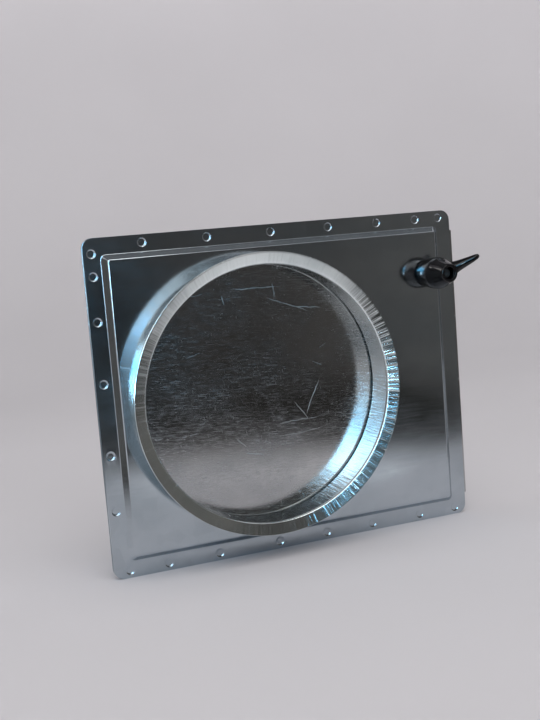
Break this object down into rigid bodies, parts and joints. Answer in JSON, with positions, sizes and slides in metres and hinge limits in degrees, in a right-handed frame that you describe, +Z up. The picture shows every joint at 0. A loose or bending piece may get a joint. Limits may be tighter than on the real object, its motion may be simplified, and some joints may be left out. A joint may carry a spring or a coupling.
{
  "type": "volume control damper",
  "caption": "Sliding volume control damper for round duct: pressed sheet housing with a flared collar on each face, a draw-out blade and a clamping lever.",
  "frame": {"origin": "on the duct axis, in the plane where the front collar's straight bore meets its turned-out lip", "axes": "+X is the way the blade draws out, +Y runs along the duct from the front collar to the rear collar, +Z is up along the housing's shorter side"},
  "size_m": [0.3145, 0.0799, 0.26],
  "materials": {
    "galvanised_sheet": "bright galvanised, finely scratched",
    "blade_sheet": "galvanised, scratched by sliding",
    "guide_bar": "mill finish zinc",
    "lever_plastic": "gloss black",
    "plated_steel": "zinc plated",
    "black_steel": "black oxide, oiled",
    "spring_steel": "drawn wire"
  },
  "bodies": {
    "housing": {"front_shell": "galvanised_sheet", "rear_shell": "galvanised_sheet", "front_collar": "galvanised_sheet", "rear_collar": "galvanised_sheet", "top_guide": "guide_bar", "bottom_guide": "guide_bar", "left_guide": "guide_bar", "clamp_nut": "plated_steel"},
    "blade": {"blade": "blade_sheet", "stop_rivets": "plated_steel"},
    "stud": {"clamp_stud": "plated_steel"},
    "bush": {"lever_bush": "black_steel", "lever_screw": "plated_steel", "lever_spring": "spring_steel"},
    "lever": {"clamp_lever": "lever_plastic"}
  },
  "joints": [
    {"name": "blade_slide", "type": "slide", "parent": "housing", "child": "blade", "axis": [1, 0, 0], "range_m": [0, 0.215]},
    {"name": "stud_advance", "type": "slide", "parent": "housing", "child": "stud", "axis": [0, -1, 0], "range_m": [0, 0.0007]},
    {"name": "clamp_turn", "type": "hinge", "parent": "stud", "child": "bush", "pos_m": [0.156, 0.0213, 0.0795], "axis": [0, -1, 0], "range_deg": [0, 180]},
    {"name": "lever_lift", "type": "slide", "parent": "bush", "child": "lever", "axis": [0, -1, 0], "range_m": [0, 0.004], "stiffness_N_per_m": 1200, "springref_m": -0.003, "deforming": ["lever_spring"]}
  ],
  "couplings": [
    {"joint": "stud_advance", "follows": "clamp_turn", "m_per_rad": 0.00019894}
  ]
}
